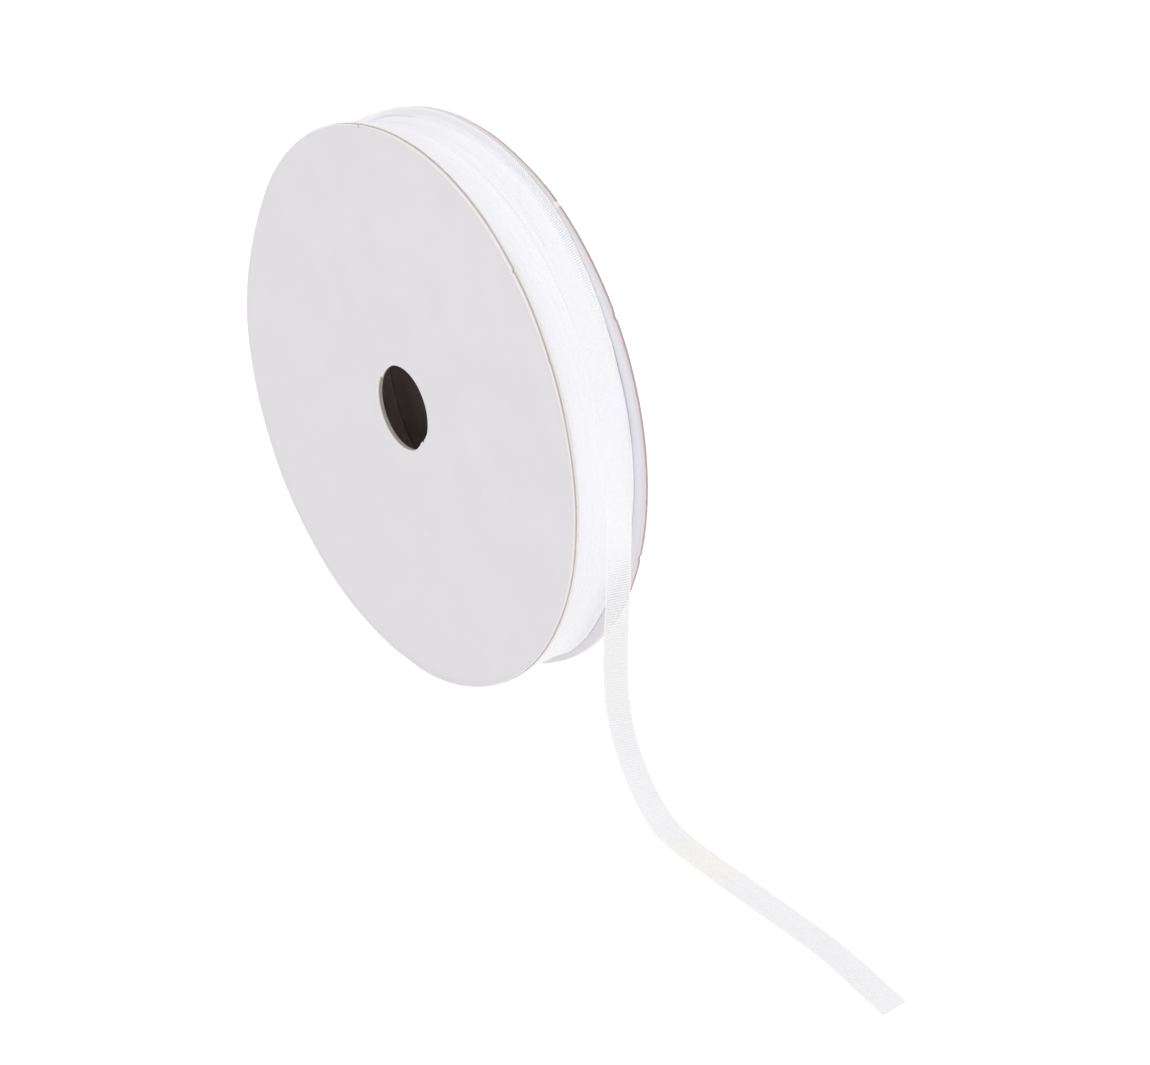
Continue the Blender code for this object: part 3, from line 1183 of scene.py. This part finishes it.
@dataclass
class LastTurn:
    """The last turn, a single sheer layer on the roll that climbs the far disc at the top."""

    spool: SpoolSizes
    roll: WoundRibbon
    start: float
    end: float = 240.0
    steps: int = 700
    rows: int = 60
    sinks_over: float = 60.0
    sinks_by: float = 0.35 * MM
    rise_power: float = 1.6
    rub: float = 0.08 * MM
    rim_margin: float = 0.4 * MM
    lay_radius: float = 54.7 * MM
    bend: float = 0.35 * MM
    tuck_past: float = 0.35 * MM
    tuck_width: float = 0.35 * MM
    deepest_tuck: float = 0.2 * MM
    clear_from: float = 0.05 * MM
    clear_over: float = 0.4 * MM
    # Painted shade: the strip greyer where it climbs the far disc.
    climb_painted_shade: float = 0.50
    shade_climb: float = 0.4
    shade_before: float = 0.7 * MM
    shade_over: float = 0.8 * MM

    def build(self) -> bpy.types.Object:
        """Make the turn as one strip.

        Across its width the strip rises from its near edge to its fold by a power of the share
        of that way. From there it goes straight at the climb's angle till it meets the far disc,
        and straight up the disc with what is left of its width. The fold is rounded as a
        hyperbola is, and pressed down by tuck times a bell curve just past it. At its end the
        strip sinks into the roll by a smooth step.

        Returns:
            The strip's object.
        """
        angle = np.linspace(self.start, self.end, self.steps)[:, None]
        width = self.roll.ribbon_width * np.linspace(0.0, 1.0, self.rows)[None, :]
        names = ("near_edge", "fold", "rise", "tuck")
        near, fold, rise, tuck = (eased_round(LAST_TURN, name, angle) * MM for name in names)
        climb = np.radians(eased_round(LAST_TURN, "climb", angle))
        lying = np.hypot(fold - near, rise)
        share = np.minimum(width / lying, 1.0)
        past = width - lying
        rest = (past + np.hypot(past, self.bend)) / 2 * (climb > 0.01)
        wall = self.roll.wall(angle, self.roll.bed(angle) + rise) - self.rub
        bridge = np.maximum(wall - fold, 0.0) / np.cos(climb)
        on_wall = np.maximum(rest - bridge, 0.0)
        lift = rise * share ** self.rise_power + (rest - on_wall) * np.sin(climb) + on_wall
        gone = (angle - (self.end - self.sinks_over)) / self.sinks_over
        sink = smooth_step(gone) * self.sinks_by
        creased = np.exp(-((past - self.tuck_past) / self.tuck_width) ** 2)
        pressed = tuck * creased
        radius = self.roll.bed(angle) + lift - sink - pressed
        y = near + share * (fold - near) + (rest - on_wall) * np.cos(climb)
        inside = radius < self.spool.disc_radius - self.rim_margin
        y = np.where(inside, np.minimum(y, self.roll.wall(angle, radius) - self.rub), y)
        points = self.spool.turned(radius, y, angle)
        along = np.radians(self.start - angle) * self.lay_radius
        off = smooth_step((lift - self.clear_from) / self.clear_over)
        # Painted shade: the strip's colour greyer where it climbs the far disc, from just before its fold
        # on.
        climbs = smooth_step(climb / self.shade_climb)
        fields = {
            "clear": eased_round(LAST_TURN, "clear", angle) * off,
            "painted_single": self.climb_painted_shade * climbs * smooth_step((past + self.shade_before) / self.shade_over),
            # Painted shade at the fold, as deep as the tuck.
            "creased": pressed / self.deepest_tuck,
        }
        return skin("last_turn", points, columns_of(along, width), fields=fields)

    def dress(self, material: bpy.types.Material) -> bpy.types.Object:
        """Build and finish the turn, which rides with the roll."""
        obj = self.build()
        obj.data.materials.append(material)
        obj.visible_shadow = False
        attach(obj, "root")
        return obj


@dataclass
class LooseEnd:
    """The ribbon's free end: it hangs from the roll, swings out and lies on the surface."""

    ribbon_width: float
    steps: int = 420
    rows: int = 25
    solid_half: float = 0.5 * MM
    lift: float = 0.05 * MM
    slant: float = 1.3 * MM
    slant_back: float = 0.3 * MM
    slant_reach: float = 9.0 * MM
    free_from: float = 0.06
    free_over: float = 0.16
    free_till: float = 0.56
    lands_over: float = 0.14
    # Run over which the loose end takes its single layer's painted colours.
    painted_single_from: float = 14.0 * MM
    painted_single_over: float = 20.0 * MM
    clear_from: float = 20.0 * MM
    hangs_from: float = 32.0 * MM
    clear_over: float = 7.0 * MM
    clearest: float = 0.65
    hangs_denser: float = 0.46
    path_step: int = 14

    def route(self) -> np.ndarray:
        """Smooth rows of place in metres and twist in degrees, through the route's points.

        Between two points the curve is a cubic. Its slope at a point is the mean of the slopes
        to both neighbours, each weighted by the distance to the other neighbour.

        Returns:
            Rows of x, y, z and twist, evenly spaced.
        """
        points = np.array(LOOSE_END_ROUTE) * np.array([MM, MM, MM, 1.0])
        lengths = np.linalg.norm(np.diff(points[:, :3], axis=0), axis=1)
        knots = np.concatenate([[0.0], np.cumsum(lengths)])
        slopes = np.gradient(points, knots, axis=0)
        along = np.linspace(0.0, knots[-1], self.steps)
        left = np.clip(np.searchsorted(knots, along, side="right") - 1, 0, len(knots) - 2)
        span = (knots[left + 1] - knots[left])[:, None]
        t = (along - knots[left])[:, None] / span
        return (
            (2 * t ** 3 - 3 * t ** 2 + 1) * points[left]
            + (t ** 3 - 2 * t ** 2 + t) * span * slopes[left]
            + (3 * t ** 2 - 2 * t ** 3) * points[left + 1]
            + (t ** 3 - t ** 2) * span * slopes[left + 1]
        )

    def frames(self) -> tuple[np.ndarray, np.ndarray]:
        """Middle line of the thin ribbon, with its across directions.

        The ribbon lies on the inner or under side of its solid where the solid rests on the
        roll or the surface, and in its middle where it hangs free.

        Returns:
            Places and across directions, one row each.
        """
        rows = self.route()
        place = rows[:, :3]
        tangent = np.gradient(place, axis=0)
        tangent /= np.linalg.norm(tangent, axis=1, keepdims=True)
        across = np.array([0.0, 1.0, 0.0]) - tangent * tangent[:, 1:2]
        across /= np.linalg.norm(across, axis=1, keepdims=True)
        outward = np.cross(tangent, across)
        twist = np.radians(rows[:, 3:4])
        turned = across * np.cos(twist) + outward * np.sin(twist)
        outward = np.cross(tangent, turned)
        gone = np.linspace(0.0, 1.0, len(place))[:, None]
        free = smooth_step((gone - self.free_from) / self.free_over)
        free = free * smooth_step((self.free_till - gone) / self.lands_over)
        return place - outward * (self.solid_half - self.lift) * (1.0 - free), turned

    def build(self) -> tuple[bpy.types.Object, np.ndarray]:
        """Make the strip: its middle line carried across its width, no point below the surface.

        Near its end each line of the strip runs on by the slant of the cut there, which goes
        from slant at the near edge to minus slant_back at the far edge.

        Returns:
            The strip's object and its middle line.
        """
        place, across = self.frames()
        share = np.linspace(0.5, -0.5, self.rows)[None, :, None]
        points = place[:, None, :] + across[:, None, :] * share * self.ribbon_width
        run = np.concatenate([[0.0], np.cumsum(np.linalg.norm(np.diff(place, axis=0), axis=1))])
        tangent = np.gradient(place, axis=0)
        tangent /= np.linalg.norm(tangent, axis=1, keepdims=True)
        cut = self.slant + (self.slant + self.slant_back) * (-0.5 - share)
        late = smooth_step((run - run[-1] + self.slant_reach) / self.slant_reach)[:, None, None]
        points = points + tangent[:, None, :] * cut * late
        points[..., 2] = np.maximum(points[..., 2], self.lift)
        width = (share[0, :, 0] + 0.5) * self.ribbon_width
        leaves = smooth_step((run - self.clear_from) / self.clear_over)
        hangs = smooth_step((run - self.hangs_from) / self.clear_over)
        # Painted shade and light: the loose end takes the single layer's painted colours once it leaves
        # the roll.
        painted_single = smooth_step((run - self.painted_single_from) / self.painted_single_over)
        clear = leaves * (self.clearest - hangs * self.hangs_denser)
        fields = {
            "clear": np.repeat(clear[:, None], self.rows, axis=1),
            "painted_single": np.repeat(painted_single[:, None], self.rows, axis=1),
            "creased": np.zeros((len(run), self.rows)),
        }
        return skin("loose_end", points, columns_of(run[:, None], width[None, :]), fields=fields), place

    def dress(self, material: bpy.types.Material) -> bpy.types.Object:
        obj, line = self.build()
        obj.data.materials.append(material)
        obj.visible_shadow = False
        obj.visible_diffuse = False
        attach(obj, "root")
        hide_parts("ribbon_end")
        path = line[::self.path_step].tolist() + [line[-1].tolist()]
        return obj


@dataclass(frozen=True)
class Studio:
    """Camera, floor and soft light."""

    azimuth: float = 53.66
    elevation: float = 28.09
    aside: float = 27.25 * MM
    above: float = -26.65 * MM
    distance: float = 707.75 * MM
    lens: float = 111.6
    sensor: float = 36.0
    nearest: float = 0.01
    floor_size: float = 6.0
    floor_grey: Colour = (0.40, 0.40, 0.402)
    floor_glow: float = 0.74
    room_light: float = 0.72
    lamps_face: Place = (0.03, 0.0, 0.05)

    def camera(self, spool: SpoolSizes) -> None:
        """Put the camera at the photograph's angle, aimed past the roll's middle."""
        turn, rise = math.radians(self.azimuth), math.radians(self.elevation)
        level = math.cos(rise)
        back = Vector((math.sin(turn) * level, -math.cos(turn) * level, math.sin(rise)))
        right = Vector((math.cos(turn), math.sin(turn), 0.0))
        up = back.cross(right)
        middle = Vector((0.0, 0.0, spool.axis_height))
        data = bpy.data.cameras.new("camera")
        data.lens = self.lens
        data.sensor_width = self.sensor
        data.clip_start = self.nearest
        obj = bpy.data.objects.new("camera", data)
        obj.matrix_world = Matrix.Translation(
            middle + right * self.aside + up * self.above + back * self.distance
        ) @ Matrix((right, up, back)).transposed().to_4x4()
        bpy.context.scene.collection.objects.link(obj)
        bpy.context.scene.camera = obj

    def floor(self) -> None:
        """Lay a plain pale floor."""
        reach = np.array([-0.5, 0.5]) * self.floor_size
        corners = columns_of(reach[None, :], reach[:, None], 0.0)
        obj = skin("floor", corners, np.zeros((2, 2, 2)))
        board = NodeBoard("pale_floor")
        obj.data.materials.append(board.surface({
            "Base Color": (*self.floor_grey, 1.0), "Roughness": 0.9, "Specular IOR Level": 0.1,
            "Emission Color": (1.0, 1.0, 1.0, 1.0), "Emission Strength": self.floor_glow,
        }))

    def lamp(self, name: str, place: Place, size: float, power: float) -> None:
        """Hang a square soft lamp that faces the roll."""
        data = bpy.data.lights.new(name, "AREA")
        data.shape = "SQUARE"
        data.size = size
        data.energy = power
        obj = bpy.data.objects.new(name, data)
        obj.location = place
        obj.rotation_mode = "QUATERNION"
        obj.rotation_quaternion = (Vector(place) - Vector(self.lamps_face)).to_track_quat("Z", "Y")
        bpy.context.scene.collection.objects.link(obj)

    def light(self) -> None:
        """Light the roll softly from all round, and more from above and the camera's left."""
        world = bpy.data.worlds.new("soft_room")
        world.use_nodes = True
        ground = world.node_tree.nodes["Background"]
        ground.inputs["Color"].default_value = (1.0, 1.0, 1.0, 1.0)
        ground.inputs["Strength"].default_value = self.room_light
        bpy.context.scene.world = world
        self.lamp("top_softbox", (-0.3, -0.5, 1.3), 0.9, 4.25)
        self.lamp("right_softbox", (1.1, 0.1, 0.8), 0.8, 2.2)
        self.lamp("low_softbox", (0.9, -0.7, 0.25), 0.5, 0.6)
        self.lamp("front_softbox", (0.15, -1.3, 0.35), 0.8, 2.6)
        bpy.context.scene.view_settings.view_transform = "Standard"

    def build(self, spool: SpoolSizes) -> None:
        """Make camera, floor and lights."""
        self.camera(spool)
        self.floor()
        self.light()


def report(obj: bpy.types.Object) -> None:
    """Log a finished piece's name and number of faces."""
    LOG.info("%s: %d faces", obj.name, len(obj.data.polygons))


def main() -> None:
    """Load the frame, set up the studio and dress every piece."""
    logging.basicConfig(level=logging.INFO, format="%(message)s")
    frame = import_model()
    spool = SpoolSizes.from_frame()
    Studio().build(spool)
    cards = {
        Side.NEAR: LinedCard(
            "lined_card_near", board=(0.39, 0.345, 0.322), board_pale=(0.57, 0.514, 0.482),
            # Painted light: the near disc's inner face is whiter than the far one's so that it throws
            # more light onto the roll beside it.
            liner_edge=(0.77, 0.740, 0.715), liner_inside=(0.86, 0.86, 0.90),
        ),
        Side.FAR: LinedCard(
            "lined_card_far", board=(0.38, 0.298, 0.282), board_pale=(0.57, 0.480, 0.455),
            liner_edge=(0.70, 0.655, 0.660),
        ),
    }
    bare, organza = BareCard().material(spool), Organza()
    discs = {side: CardDisc(side, spool) for side in Side}
    for disc in discs.values():
        report(disc.dress(cards[disc.side].material(spool)))
    core = frame["nodes"]["core_tube"]
    core.data.materials.clear()
    core.data.materials.append(bare)
    report(core)
    ribbon_width = 6.0 * MM
    roll = WoundRibbon(spool, discs[Side.NEAR], discs[Side.FAR], ribbon_width)
    report(roll.dress(organza.wound()))
    sheer = organza.sheer(ribbon_width)
    end = LooseEnd(ribbon_width)
    place = end.frames()[0][0]
    start = math.degrees(math.atan2(place[2] - spool.axis_height, place[0]))
    report(LastTurn(spool, roll, start).dress(sheer))
    report(end.dress(sheer))


if __name__ == "__main__":
    main()
